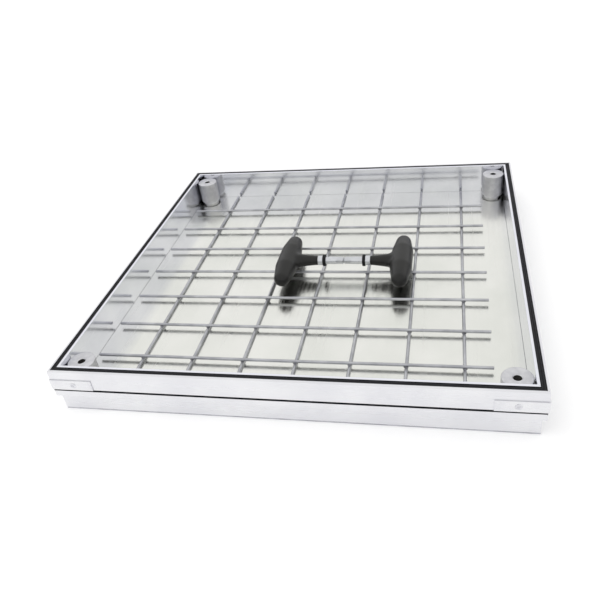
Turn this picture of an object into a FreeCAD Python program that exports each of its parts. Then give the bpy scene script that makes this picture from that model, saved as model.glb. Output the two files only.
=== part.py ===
"""Recessed inspection cover: mitred frame, sealed tray with reinforcing mesh, and two lifting keys.

Millimetres, +Z up, origin under the middle of the frame on the surface it stands on.
Every bar, seal and socket is drawn once, at the back or at one corner, and turned about Z to its place.
"""
import FreeCAD, Part
import math
import os
import re

import Sketcher

# Driving sizes: alias, millimetres or count, what it is
SIZES = (
    ("frame_side", 420, "outer face to outer face of the frame"),
    ("frame_height", 47, "underside to rim"),
    ("frame_wall", 2.2, "wall of the frame extrusion"),
    ("rim_bevel", 0.8, "bevel on the frame's outer top edge"),
    ("groove_bottom", 24.5, "height of the shadow groove's lower edge"),
    ("groove_height", 2.2, "shadow groove, edge to edge"),
    ("groove_depth", 2.4, "shadow groove, into the frame"),
    ("lip_bottom", 18, "height of the lip's underside"),
    ("band_step", 3, "set-back of the lower band under the lip"),
    ("ledge_reach", 25, "ledge that carries the tray, from the lower band inwards"),
    ("ledge_thickness", 3.5, "ledge that carries the tray"),
    ("rib_reach", 2.6, "rib under the rim seal, from the wall inwards"),
    ("rib_thickness", 2, "rib under the rim seal"),
    ("seal_width", 4.4, "rim seal, and the gap that it fills"),
    ("seal_height", 9, "rim seal"),
    ("seal_sink", 0.6, "rim seal's top below the rim"),
    ("seal_bevel", 0.8, "bevels along the rim seal's top"),
    ("rest_seal_inset", 3.4, "rest seal, from the tray's outer face inwards"),
    ("rest_seal_width", 10, "rest seal"),
    ("rest_seal_height", 4, "rest seal under the tray's weight"),
    ("tray_wall", 2.4, "wall of the tray edge"),
    ("tray_foot_width", 17.4, "foot of the tray edge, from its outer face inwards"),
    ("tray_foot_thickness", 3, "foot of the tray edge"),
    ("floor_thickness", 2, "tray floor sheet"),
    ("floor_gap", 0.2, "clearance round the floor sheet"),
    ("angle_leg", 40, "corner angle, length of a leg"),
    ("angle_height", 10.8, "corner angle"),
    ("angle_thickness", 1, "corner angle"),
    ("angle_bevel", 0.6, "bevel on the corner angle's bend"),
    ("rivet_place", 22, "rivet from the frame's corner"),
    ("rivet_shank_radius", 1.6, "rivet shank"),
    ("rivet_head_radius", 2.9, "rivet head"),
    ("rivet_head_height", 0.7, "rivet head"),
    ("rivet_gap", 0.05, "clearance of a rivet in its hole"),
    ("socket_radius", 12.5, "lifting socket, outside"),
    ("socket_foot_radius", 10, "lifting socket's foot on the floor"),
    ("socket_foot_height", 3, "lifting socket's foot on the floor"),
    ("socket_sink", 5, "lifting socket's top below the rim"),
    ("socket_gap", 0.2, "lifting socket to the tray walls"),
    ("socket_bevel", 1, "bevel round the lifting socket's top"),
    ("bore_radius", 3.4, "threaded hole of the lifting socket"),
    ("bore_depth", 20, "threaded hole of the lifting socket"),
    ("bore_mouth", 0.9, "countersink at the threaded hole"),
    ("bore_tip", 2, "drill point under the threaded hole"),
    ("wire_radius", 1.5, "mesh wire"),
    ("wire_pitch", 50, "mesh, wire to wire both ways"),
    ("mesh_margin", 45, "least distance from the outermost wires to the tray walls"),
    ("wire_wall_gap", 5, "front, back and left ends of the wires, to the tray walls"),
    ("wire_overhang", 24, "right ends of the wires, beyond the outermost wire that they cross"),
    ("keys_middle_x", 25.5, "where the two lifting keys' tips meet"),
    ("keys_middle_y", 3, "where the two lifting keys' tips meet"),
    ("keys_tip_gap", 0.4, "between the two lifting keys' tips"),
    ("keys_rest_gap", 0.05, "grips above the wires they lie on"),
    ("grip_length", 90, "crossbar of the T-grip"),
    ("grip_middle", 34, "straight middle of the crossbar"),
    ("grip_radius", 11.5, "crossbar of the T-grip at its middle"),
    ("grip_cap_radius", 8.5, "round ends that the crossbar tapers to"),
    ("neck_length", 33, "T-grip, crossbar's axis to the end of the neck"),
    ("neck_root_radius", 8.2, "neck where it leaves the crossbar's axis"),
    ("neck_end_radius", 5.8, "neck at its end"),
    ("neck_fillet", 9, "fillet between crossbar and neck"),
    ("shank_radius", 4, "shank of the lifting key"),
    ("shank_set", 21, "shank inside the neck"),
    ("shank_gap", 0.1, "clearance of the shank in the neck and the washer"),
    ("shank_bevel", 1, "bevel at the shank's tip"),
    ("collar_radius", 5.2, "collar of the shank"),
    ("collar_length", 5.5, "collar of the shank"),
    ("washer_radius", 6.25, "washer against the collar"),
    ("washer_thickness", 3, "washer against the collar"),
    ("shank_reach", 19.8, "shank beyond the washer"),
)

# Places that several pieces share, worked out from the driving sizes
HALF = "frame_side / 2"
GROOVE_TOP = "groove_bottom + groove_height"
BLOCK_TOP = f"{GROOVE_TOP} + frame_wall"
BAND_INNER = "band_step + frame_wall"
RIB_TOP = "frame_height - seal_sink - seal_height"
RIB_BOTTOM = f"{RIB_TOP} - rib_thickness"
RIVET_LINE = f"({BLOCK_TOP} + {RIB_BOTTOM}) / 2"
RIVET_HOLE = "rivet_shank_radius + rivet_gap"
TRAY_OUTER = "frame_wall + seal_width"
TRAY_INNER = f"{TRAY_OUTER} + tray_wall"
TRAY_BOTTOM = "ledge_thickness + rest_seal_height"
FOOT_TOP = f"{TRAY_BOTTOM} + tray_foot_thickness"
FLOOR_TOP = f"{FOOT_TOP} + floor_thickness"
SOCKET_TOP = "frame_height - socket_sink"
SOCKET_PLACE = f"{HALF} - ({TRAY_INNER}) - socket_gap - socket_radius"
LONG_WIRE_AXIS = f"{FLOOR_TOP} + wire_radius"
CROSS_WIRE_AXIS = f"{FLOOR_TOP} + 3 * wire_radius"
WIRE_COUNT = f"floor((2 * ({HALF} - ({TRAY_INNER}) - mesh_margin)) / wire_pitch) + 1"
FIRST_WIRE = f"-({WIRE_COUNT} - 1) * wire_pitch / 2"
WIRE_END = f"{HALF} - ({TRAY_INNER}) - wire_wall_gap"
FREE_WIRE_END = f"({WIRE_COUNT} - 1) * wire_pitch / 2 + wire_overhang"
COLLAR_END = "neck_length + collar_length"
WASHER_END = f"{COLLAR_END} + washer_thickness"
KEY_TIP = f"{WASHER_END} + shank_reach"
KEY_AXIS_HEIGHT = f"{FLOOR_TOP} + 4 * wire_radius + keys_rest_gap + grip_radius"
KEY_HALF_SPAN = f"{KEY_TIP} + keys_tip_gap / 2"

# In the order of quarter turns about Z, from the back bar and from the back right corner
SIDES = ("back", "left", "front", "right")
CORNERS = ("back_right", "back_left", "front_left", "front_right")
FULL_TURN = 360

# Points of a sketch's edge, and the sketch's axes, as constraints number them
START, END, CENTRE = range(1, 4)
ACROSS_AXIS, UP_AXIS = range(-1, -3, -1)

doc = FreeCAD.newDocument("InspectionCover")
sheet = doc.addObject("Spreadsheet::Sheet", "Sizes")
for row, (alias, number, meaning) in enumerate(SIZES, start=1):
    sheet.set(f"A{row}", meaning)
    sheet.set(f"B{row}", str(number))
    sheet.setAlias(f"B{row}", alias)
doc.recompute()

ALIASES = {alias for alias, number, meaning in SIZES}
sub_parts = []


def bound(expression):
    """The expression with each alias named as a cell of the sheet."""
    def cell(word):
        return f"Sizes.{word.group(0)}" if word.group(0) in ALIASES else word.group(0)
    return re.sub(r"[a-z_]+", cell, expression)


def value(expression):
    """The expression's value now, in millimetres."""
    return float(sheet.evalExpression(expression))


def new_body(label):
    """A body of its own for one sub-part; the label names its file."""
    body = doc.addObject("PartDesign::Body", label)
    body.Label = label
    sub_parts.append(body)
    return body


def origin_feature(body, role):
    """One of the body's own origin planes or axes."""
    return next(feature for feature in body.Origin.OriginFeatures if feature.Role == role)


def new_sketch(body, name, plane):
    """An empty sketch on one of the body's own origin planes."""
    sketch = body.newObject("Sketcher::SketchObject", name)
    sketch.AttachmentSupport = [(origin_feature(body, plane), "")]
    sketch.MapMode = "FlatFace"
    return sketch


def pin_point(sketch, geometry, point, across, up):
    """Tie one point of a sketch to two expressions, measured from the sketch's origin."""
    for kind, axis, expression in (("DistanceX", UP_AXIS, across), ("DistanceY", ACROSS_AXIS, up)):
        if expression == "0":
            sketch.addConstraint(Sketcher.Constraint("PointOnObject", geometry, point, axis))
            continue
        place = Sketcher.Constraint(kind, ACROSS_AXIS, START, geometry, point, value(expression))
        index = sketch.addConstraint(place)
        sketch.setExpression(f"Constraints[{index}]", bound(expression))


def outline(body, name, plane, corners):
    """A closed outline of straight edges, each corner a pair of expressions."""
    sketch = new_sketch(body, name, plane)
    points = [FreeCAD.Vector(value(across), value(up), 0) for across, up in corners]
    for here, there in zip(points, points[1:] + points[:1]):
        sketch.addGeometry(Part.LineSegment(here, there))
    for index, (across, up) in enumerate(corners):
        following = (index + 1) % len(corners)
        sketch.addConstraint(Sketcher.Constraint("Coincident", index, END, following, START))
        pin_point(sketch, index, START, across, up)
    return sketch


def circles(body, name, plane, centres, radius):
    """Circles of one radius, each centre a pair of expressions."""
    sketch = new_sketch(body, name, plane)
    for index, (across, up) in enumerate(centres):
        centre = FreeCAD.Vector(value(across), value(up), 0)
        sketch.addGeometry(Part.Circle(centre, FreeCAD.Vector(0, 0, 1), value(radius)))
        pin_point(sketch, index, CENTRE, across, up)
        size = sketch.addConstraint(Sketcher.Constraint("Radius", index, value(radius)))
        sketch.setExpression(f"Constraints[{size}]", bound(radius))
    return sketch


def pad(body, sketch, length, behind=None):
    """Raise a sketch by a length, and by another length behind it where one is given."""
    feature = body.newObject("PartDesign::Pad", f"{sketch.Name}_pad")
    feature.Profile = sketch
    feature.SideType = "Two sides" if behind else "One side"
    feature.setExpression("Length", bound(length))
    if behind:
        feature.setExpression("Length2", bound(behind))
    return feature


def revolve(body, sketch, axis):
    """Turn a sketch all the way round one of the body's origin axes."""
    feature = body.newObject("PartDesign::Revolution", f"{sketch.Name}_turned")
    feature.Profile = sketch
    feature.ReferenceAxis = (origin_feature(body, axis), [""])
    feature.Angle = FULL_TURN
    return feature


def cut_through(body, sketch):
    """Cut a sketch right through the body, both ways, and make sure that it met something."""
    doc.recompute()
    before = body.Shape.Volume
    feature = body.newObject("PartDesign::Pocket", f"{sketch.Name}_cut")
    feature.Profile = sketch
    feature.Type = "ThroughAll"
    feature.SideType = "Symmetric"
    doc.recompute()
    if body.Shape.Volume >= before:
        raise RuntimeError(f"{body.Label}: {sketch.Name} cuts nothing")
    return feature


def turn_about_z(body, quarter_turns):
    """Turn a finished body about the cover's middle."""
    turn = FreeCAD.Rotation(FreeCAD.Vector(0, 0, 1), FULL_TURN / len(SIDES) * quarter_turns)
    body.Placement = FreeCAD.Placement(FreeCAD.Vector(0, 0, 0), turn)


def mitred_bar(label, profile, quarter_turns):
    """One side of the cover: a profile along X at the back, mitred at both ends and turned to its side.

    Each corner of the profile is the distance in from the frame's outer face, and the height.
    """
    body = new_body(label)
    corners = [(f"{HALF} - ({inwards})", height) for inwards, height in profile]
    pad(body, outline(body, f"{label}_profile", "YZ_Plane", corners), HALF, behind=HALF)
    beyond_mitres = (
        ("0", "0"),
        ("frame_side", "frame_side"),
        ("frame_side", "-frame_height"),
        ("-frame_side", "-frame_height"),
        ("-frame_side", "frame_side"),
    )
    cut_through(body, outline(body, f"{label}_mitres", "XY_Plane", beyond_mitres))
    turn_about_z(body, quarter_turns)
    return body


def frame_bar(side, quarter_turns):
    """Frame extrusion: upper band, shadow groove, lip, lower band and the ledge for the tray."""
    profile = (
        ("rim_bevel", "frame_height"),
        ("0", "frame_height - rim_bevel"),
        ("0", GROOVE_TOP),
        ("groove_depth", GROOVE_TOP),
        ("groove_depth", "groove_bottom"),
        ("0", "groove_bottom"),
        ("0", "lip_bottom"),
        ("band_step", "lip_bottom"),
        ("band_step", "0"),
        ("band_step + ledge_reach", "0"),
        ("band_step + ledge_reach", "ledge_thickness"),
        (BAND_INNER, "ledge_thickness"),
        (BAND_INNER, BLOCK_TOP),
        ("frame_wall", BLOCK_TOP),
        ("frame_wall", RIB_BOTTOM),
        ("frame_wall + rib_reach", RIB_BOTTOM),
        ("frame_wall + rib_reach", RIB_TOP),
        ("frame_wall", RIB_TOP),
        ("frame_wall", "frame_height"),
    )
    body = mitred_bar(f"frame_bar_{side}", profile, quarter_turns)
    holes = [(f"{sign}({HALF} - rivet_place)", RIVET_LINE) for sign in ("", "-")]
    cut_through(body, circles(body, f"{body.Name}_holes", "XZ_Plane", holes, RIVET_HOLE))


def rim_seal(side, quarter_turns):
    """Rubber strip that stands on the frame's rib and closes the gap to the tray."""
    profile = (
        ("frame_wall", RIB_TOP),
        (TRAY_OUTER, RIB_TOP),
        (TRAY_OUTER, "frame_height - seal_sink - seal_bevel"),
        (f"{TRAY_OUTER} - seal_bevel", "frame_height - seal_sink"),
        ("frame_wall + seal_bevel", "frame_height - seal_sink"),
        ("frame_wall", "frame_height - seal_sink - seal_bevel"),
    )
    mitred_bar(f"rim_seal_{side}", profile, quarter_turns)


def rest_seal(side, quarter_turns):
    """Flat rubber strip on the frame's ledge, under the foot of the tray edge."""
    outer = f"{TRAY_OUTER} + rest_seal_inset"
    inner = f"{outer} + rest_seal_width"
    profile = (
        (outer, "ledge_thickness"),
        (outer, TRAY_BOTTOM),
        (inner, TRAY_BOTTOM),
        (inner, "ledge_thickness"),
    )
    mitred_bar(f"rest_seal_{side}", profile, quarter_turns)


def tray_edge(side, quarter_turns):
    """Angle extrusion: the tray's wall up to the rim, and the foot that carries the floor."""
    profile = (
        (TRAY_OUTER, TRAY_BOTTOM),
        (TRAY_OUTER, "frame_height"),
        (TRAY_INNER, "frame_height"),
        (TRAY_INNER, FOOT_TOP),
        (f"{TRAY_OUTER} + tray_foot_width", FOOT_TOP),
        (f"{TRAY_OUTER} + tray_foot_width", TRAY_BOTTOM),
    )
    mitred_bar(f"tray_edge_{side}", profile, quarter_turns)


def tray_floor():
    """Flat sheet on the feet of the four tray edges."""
    body = new_body("tray_floor")
    edge = f"({HALF} - ({TRAY_INNER}) - floor_gap)"
    sheet_outline = ((edge, edge), (f"-{edge}", edge), (f"-{edge}", f"-{edge}"), (edge, f"-{edge}"))
    sketch = outline(body, "floor_sheet", "XY_Plane", sheet_outline)
    sketch.setExpression("AttachmentOffset.Base.z", bound(FOOT_TOP))
    pad(body, sketch, "floor_thickness")


def corner_angle(corner, quarter_turns):
    """Folded angle outside the frame's corner, drilled for a rivet in each leg."""
    body = new_body(f"corner_angle_{corner}")
    outside = f"{HALF} + angle_thickness"
    leg_end = f"{HALF} - angle_leg"
    bend = (
        (HALF, HALF),
        (leg_end, HALF),
        (leg_end, outside),
        (f"{outside} - angle_bevel", outside),
        (outside, f"{outside} - angle_bevel"),
        (outside, leg_end),
        (HALF, leg_end),
    )
    sketch = outline(body, f"{body.Name}_bend", "XY_Plane", bend)
    sketch.setExpression("AttachmentOffset.Base.z", bound(f"{RIVET_LINE} - angle_height / 2"))
    pad(body, sketch, "angle_height")
    hole = (f"{HALF} - rivet_place", RIVET_LINE)
    for plane in ("XZ_Plane", "YZ_Plane"):
        hole_sketch = circles(body, f"{body.Name}_{plane[:2]}", plane, [hole], RIVET_HOLE)
        cut_through(body, hole_sketch)
    turn_about_z(body, quarter_turns)


def corner_rivets():
    """Flat-headed rivets through the corner angles and the frame's wall: one in each leg."""
    body = new_body("corner_rivets")
    inside = f"{HALF} - frame_wall"
    under_head = f"{HALF} + angle_thickness"
    head_top = f"{under_head} + rivet_head_height"
    axis = f"{HALF} - rivet_place"
    section = (
        (axis, inside),
        (f"{axis} + rivet_shank_radius", inside),
        (f"{axis} + rivet_shank_radius", under_head),
        (f"{axis} + rivet_head_radius", under_head),
        (f"{axis} + rivet_head_radius - rivet_head_height", head_top),
        (axis, head_top),
    )
    sketch = outline(body, "rivet_section", "XY_Plane", section)
    sketch.setExpression("AttachmentOffset.Base.z", bound(RIVET_LINE))
    rivet = body.newObject("PartDesign::Revolution", "rivet_turned")
    rivet.Profile = sketch
    rivet.ReferenceAxis = (sketch, [f"Edge{len(section)}"])
    rivet.Angle = FULL_TURN
    both_ends = body.newObject("PartDesign::Mirrored", "rivets_both_ends")
    both_ends.MirrorPlane = (origin_feature(body, "YZ_Plane"), [""])
    all_sides = body.newObject("PartDesign::PolarPattern", "rivets_all_sides")
    all_sides.Axis = (origin_feature(body, "Z_Axis"), [""])
    all_sides.Angle = FULL_TURN
    all_sides.Occurrences = len(SIDES)
    every_rivet = body.newObject("PartDesign::MultiTransform", "every_rivet")
    every_rivet.Originals = [rivet]
    every_rivet.Transformations = [both_ends, all_sides]
    body.Tip = every_rivet


def lifting_socket(corner):
    """Round post on a narrower foot in a corner of the tray, with a blind threaded hole in its top."""
    body = new_body(f"lifting_socket_{corner}")
    bore_bottom = f"{SOCKET_TOP} - bore_depth"
    section = (
        ("0", FLOOR_TOP),
        ("socket_foot_radius", FLOOR_TOP),
        ("socket_foot_radius", f"{FLOOR_TOP} + socket_foot_height"),
        ("socket_radius", f"{FLOOR_TOP} + socket_foot_height"),
        ("socket_radius", f"{SOCKET_TOP} - socket_bevel"),
        ("socket_radius - socket_bevel", SOCKET_TOP),
        ("bore_radius + bore_mouth", SOCKET_TOP),
        ("bore_radius", f"{SOCKET_TOP} - bore_mouth"),
        ("bore_radius", bore_bottom),
        ("0", f"{bore_bottom} - bore_tip"),
    )
    revolve(body, outline(body, f"{body.Name}_section", "XZ_Plane", section), "Z_Axis")
    across = "-" if "left" in corner else ""
    along = "-" if "front" in corner else ""
    body.setExpression("Placement.Base.x", bound(f"{across}({SOCKET_PLACE})"))
    body.setExpression("Placement.Base.y", bound(f"{along}({SOCKET_PLACE})"))


def mesh_wires(label, plane, direction, height, ahead, behind):
    """One layer of the mesh: straight wires with the same two ends, side by side along a direction."""
    body = new_body(label)
    sketch = circles(body, f"{label}_section", plane, [(FIRST_WIRE, height)], "wire_radius")
    wire = pad(body, sketch, ahead, behind=behind)
    row = body.newObject("PartDesign::LinearPattern", f"{label}_row")
    row.Originals = [wire]
    row.Direction = (origin_feature(body, direction), [""])
    row.Mode = "Spacing"
    row.setExpression("Offset", bound("wire_pitch"))
    row.setExpression("Occurrences", bound(WIRE_COUNT))
    body.Tip = row


def crossbar_sketch(body, name):
    """Half outline of the T-grip's crossbar: a straight middle, and tapers that end tangent to round caps."""
    sketch = new_sketch(body, name, "XY_Plane")
    cap_place = "(grip_length / 2 - grip_cap_radius)"
    reach, radius, cap = value("grip_length / 2"), value("grip_radius"), value("grip_cap_radius")
    middle, place = value("grip_middle / 2"), value(cap_place)
    taper_run = place - middle
    slope = math.acos(cap / math.hypot(radius, taper_run)) - math.atan2(taper_run, radius)
    touch_across, touch_along = cap * math.cos(slope), place + cap * math.sin(slope)

    def line(*ends):
        return sketch.addGeometry(Part.LineSegment(*(FreeCAD.Vector(*end, 0) for end in ends)))

    def round_cap(along, first, last):
        circle = Part.Circle(FreeCAD.Vector(0, along, 0), FreeCAD.Vector(0, 0, 1), cap)
        return sketch.addGeometry(Part.ArcOfCircle(circle, first, last))

    top = round_cap(place, slope, math.pi / 2)
    upper_taper = line((radius, middle), (touch_across, touch_along))
    side = line((radius, -middle), (radius, middle))
    lower_taper = line((touch_across, -touch_along), (radius, -middle))
    low = round_cap(-place, -math.pi / 2, -slope)
    axis = line((0, reach), (0, -reach))
    joints = (
        ("Tangent", top, START, upper_taper, END),
        ("Coincident", upper_taper, START, side, END),
        ("Coincident", side, START, lower_taper, END),
        ("Tangent", lower_taper, START, low, END),
        ("Coincident", low, START, axis, END),
        ("Coincident", axis, START, top, END),
        ("PointOnObject", axis, START, UP_AXIS),
        ("PointOnObject", axis, END, UP_AXIS),
        ("Equal", top, low),
    )
    for joint in joints:
        sketch.addConstraint(Sketcher.Constraint(*joint))
    pin_point(sketch, top, CENTRE, "0", cap_place)
    pin_point(sketch, low, CENTRE, "0", f"-{cap_place}")
    pin_point(sketch, side, END, "grip_radius", "grip_middle / 2")
    pin_point(sketch, side, START, "grip_radius", "-grip_middle / 2")
    size = sketch.addConstraint(Sketcher.Constraint("Radius", top, cap))
    sketch.setExpression(f"Constraints[{size}]", bound("grip_cap_radius"))
    return sketch


def place_key_piece(body, hand):
    """Lay a piece of a lifting key on the mesh, with its shank towards the middle."""
    turn = FreeCAD.Rotation(FreeCAD.Vector(0, 0, 1), 0 if hand == "left" else FULL_TURN / 2)
    body.Placement = FreeCAD.Placement(FreeCAD.Vector(0, 0, 0), turn)
    sign = "-" if hand == "left" else "+"
    body.setExpression("Placement.Base.x", bound(f"keys_middle_x {sign} ({KEY_HALF_SPAN})"))
    body.setExpression("Placement.Base.y", bound("keys_middle_y"))
    body.setExpression("Placement.Base.z", bound(KEY_AXIS_HEIGHT))


def key_grip(hand):
    """Moulded T-grip: a tapered crossbar, a neck filleted into it, and a blind hole for the shank."""
    body = new_body(f"key_{hand}_grip")
    revolve(body, crossbar_sketch(body, f"{body.Name}_crossbar"), "Y_Axis")
    neck = (
        ("0", "0"),
        ("0", "neck_root_radius"),
        ("neck_length", "neck_end_radius"),
        ("neck_length", "0"),
    )
    joined = revolve(body, outline(body, f"{body.Name}_neck", "XY_Plane", neck), "X_Axis")
    doc.recompute()
    seams = [f"Edge{number}" for number, edge in enumerate(joined.Shape.Edges, start=1)
             if 0 < edge.BoundBox.XMin and edge.BoundBox.XMax < value("neck_length")
             and edge.BoundBox.ZLength > value("shank_radius")]
    fillet = body.newObject("PartDesign::Fillet", f"{body.Name}_fillet")
    fillet.Base = (joined, seams)
    fillet.setExpression("Radius", bound("neck_fillet"))
    hole = (
        ("neck_length - shank_set", "0"),
        ("neck_length - shank_set", "shank_radius + shank_gap"),
        ("neck_length", "shank_radius + shank_gap"),
        ("neck_length", "0"),
    )
    groove = body.newObject("PartDesign::Groove", f"{body.Name}_hole")
    groove.Profile = outline(body, f"{body.Name}_hole_section", "XY_Plane", hole)
    groove.ReferenceAxis = (origin_feature(body, "X_Axis"), [""])
    groove.Angle = FULL_TURN
    place_key_piece(body, hand)


def key_shank(hand):
    """Steel shank: set in the neck, a collar against it, and a bevelled tip that takes the thread."""
    body = new_body(f"key_{hand}_shank")
    section = (
        ("neck_length - shank_set", "0"),
        ("neck_length - shank_set", "shank_radius"),
        ("neck_length", "shank_radius"),
        ("neck_length", "collar_radius"),
        (COLLAR_END, "collar_radius"),
        (COLLAR_END, "shank_radius"),
        (f"{KEY_TIP} - shank_bevel", "shank_radius"),
        (KEY_TIP, "shank_radius - shank_bevel"),
        (KEY_TIP, "0"),
    )
    revolve(body, outline(body, f"{body.Name}_section", "XY_Plane", section), "X_Axis")
    place_key_piece(body, hand)


def key_washer(hand):
    """Black washer on the shank, against the collar."""
    body = new_body(f"key_{hand}_washer")
    section = (
        (COLLAR_END, "shank_radius + shank_gap"),
        (COLLAR_END, "washer_radius"),
        (WASHER_END, "washer_radius"),
        (WASHER_END, "shank_radius + shank_gap"),
    )
    revolve(body, outline(body, f"{body.Name}_section", "XY_Plane", section), "X_Axis")
    place_key_piece(body, hand)


for turns, side in enumerate(SIDES):
    frame_bar(side, turns)
    rim_seal(side, turns)
    rest_seal(side, turns)
    tray_edge(side, turns)
tray_floor()
for turns, corner in enumerate(CORNERS):
    corner_angle(corner, turns)
    lifting_socket(corner)
corner_rivets()
mesh_wires("mesh_long_wires", "XZ_Plane", "X_Axis", LONG_WIRE_AXIS, WIRE_END, WIRE_END)
mesh_wires("mesh_cross_wires", "YZ_Plane", "Y_Axis", CROSS_WIRE_AXIS, FREE_WIRE_END, WIRE_END)
for hand in ("left", "right"):
    key_grip(hand)
    key_shank(hand)
    key_washer(hand)
doc.recompute()

# Nothing is written unless every feature came out and every sub-part is a sound solid
for feature in doc.Objects:
    if {"Invalid", "Error"} & set(feature.State):
        raise RuntimeError(f"{feature.Label} failed: {feature.State}")
for part in sub_parts:
    if part.Shape.isNull() or not part.Shape.isValid() or not part.Shape.Solids:
        raise RuntimeError(f"{part.Label} has no sound solid")

os.makedirs("parts", exist_ok=True)
for part in sub_parts:
    part.Shape.exportStep(f"parts/{part.Label}.step")
    print(f"{part.Label}: {len(part.Shape.Solids)} solid(s), {part.Shape.Volume / 1000:.2f} cm3")
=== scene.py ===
"""Looks of a recessed inspection cover: frame, sealed tray, reinforcing mesh and two lifting keys.

Sizes in the classes are millimetres, meshes are metres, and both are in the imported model's own frame:
+Z up, the front towards -Y, the origin under the middle of the cover on the surface that it stands on.
"""
import logging
import math
import random
from collections.abc import Callable, Iterator, Sequence
from dataclasses import dataclass, field
from enum import Enum

import bmesh
import bpy
from mathutils import Matrix, Vector, noise


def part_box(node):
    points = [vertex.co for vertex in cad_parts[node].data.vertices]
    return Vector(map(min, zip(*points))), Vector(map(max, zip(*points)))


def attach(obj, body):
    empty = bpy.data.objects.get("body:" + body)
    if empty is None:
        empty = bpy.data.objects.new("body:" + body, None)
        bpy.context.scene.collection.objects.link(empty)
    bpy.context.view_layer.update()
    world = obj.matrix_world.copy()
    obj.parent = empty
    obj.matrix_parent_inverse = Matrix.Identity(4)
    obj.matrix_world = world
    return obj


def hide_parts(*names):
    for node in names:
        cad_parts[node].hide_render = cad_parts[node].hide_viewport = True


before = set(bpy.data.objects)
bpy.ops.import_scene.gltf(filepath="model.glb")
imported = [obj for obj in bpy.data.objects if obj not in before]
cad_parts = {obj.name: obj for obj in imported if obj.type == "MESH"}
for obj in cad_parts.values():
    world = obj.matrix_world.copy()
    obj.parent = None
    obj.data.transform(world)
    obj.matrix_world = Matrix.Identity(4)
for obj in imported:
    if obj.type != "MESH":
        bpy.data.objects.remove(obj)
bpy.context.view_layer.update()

LOG = logging.getLogger("inspection_cover")
MM = 0.001
QUARTER_TURN = math.pi / 2
ORIGIN = Vector((0.0, 0.0, 0.0)).freeze()
IN_PLACE = Matrix.Identity(4).freeze()
BODY = "root"

Tree = bpy.types.NodeTree
Node = bpy.types.Node
Socket = bpy.types.NodeSocket
Mesh = bpy.types.Mesh
Face = bpy.types.MeshPolygon
Piece = bpy.types.Object
Shape = bmesh.types.BMesh
Outline = list[tuple[float, float]]
Turning = list[tuple[float, float, float]]
Rings = list[list[Vector]]


class Place(Enum):
    """A place on the cover, valued in quarter turns about Z."""

    @property
    def label(self) -> str:
        """The place's words in the names of nodes."""
        return self.name.lower()

    @property
    def turn(self) -> float:
        """The place's turn about Z, in radians."""
        return self.value * QUARTER_TURN


class Side(Place):
    """A side of the cover, counted from the back."""

    BACK = 0
    LEFT = 1
    FRONT = 2
    RIGHT = 3


class Corner(Place):
    """A corner of the cover, counted from the back right."""

    BACK_RIGHT = 0
    BACK_LEFT = 1
    FRONT_LEFT = 2
    FRONT_RIGHT = 3


class Hand(Place):
    """Which of the two lifting keys, by the turn that its shank has from +X."""

    LEFT = 0
    RIGHT = 2


class Axis(Enum):
    """One of a piece's own axes, valued by its number."""

    X = 0
    Y = 1
    Z = 2


class Ends(Enum):
    """What becomes of the two ends of a stack of rings."""

    CAPPED = "closed by a face each"
    LOOPED = "joined to each other"


# Finishes

PATCH_NOISE = (0.35, 0.65)  # the stretch of a noise over which the colour goes from fresh to worn
SHEEN_NOISE = (0.3, 0.7)    # the stretch over which the roughness goes from its least to its most
SHEEN_FINENESS = 3          # plating is this many times finer in its sheen than in its clouds
WAVE_UNIT = 20              # a wave texture of scale 1 has this many radians to the metre
MARK_WAVER = 0.6            # how far tool marks stray from true circles
# The sockets that a mix node has for colours, by number because their names are not unique
MIX_SHARE, MIX_FROM, MIX_TO, MIX_RESULT = 0, 6, 7, 2


def linear(hex_colour: str) -> tuple[float, ...]:
    """Turn an sRGB hex colour into linear light.

    Args:
        hex_colour: Six hex digits after a #.

    Returns:
        Red, green, blue and alpha as a colour socket takes them.
    """
    parts = [int(hex_colour[start:start + 2], 16) / 255 for start in (1, 3, 5)]
    return (*(part / 12.92 if part <= 0.04045 else ((part + 0.055) / 1.055) ** 2.4 for part in parts), 1.0)


def add(tree: Tree, kind: str, settings: dict | None = None, links: dict | None = None) -> Node:
    """Add one node with its settings and links.

    Args:
        tree: The node tree that takes it.
        kind: Blender's name for the kind of node.
        settings: Values by the name of a property, or by the name or number of an input.
        links: Output sockets by the name or number of the input that each feeds.

    Returns:
        The new node.
    """
    node = tree.nodes.new(kind)
    for key, value in (settings or {}).items():
        if str(key) in node.bl_rna.properties:
            setattr(node, key, value)
        else:
            node.inputs[key].default_value = value
    for key, source in (links or {}).items():
        tree.links.new(source, node.inputs[key])
    return node


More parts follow.
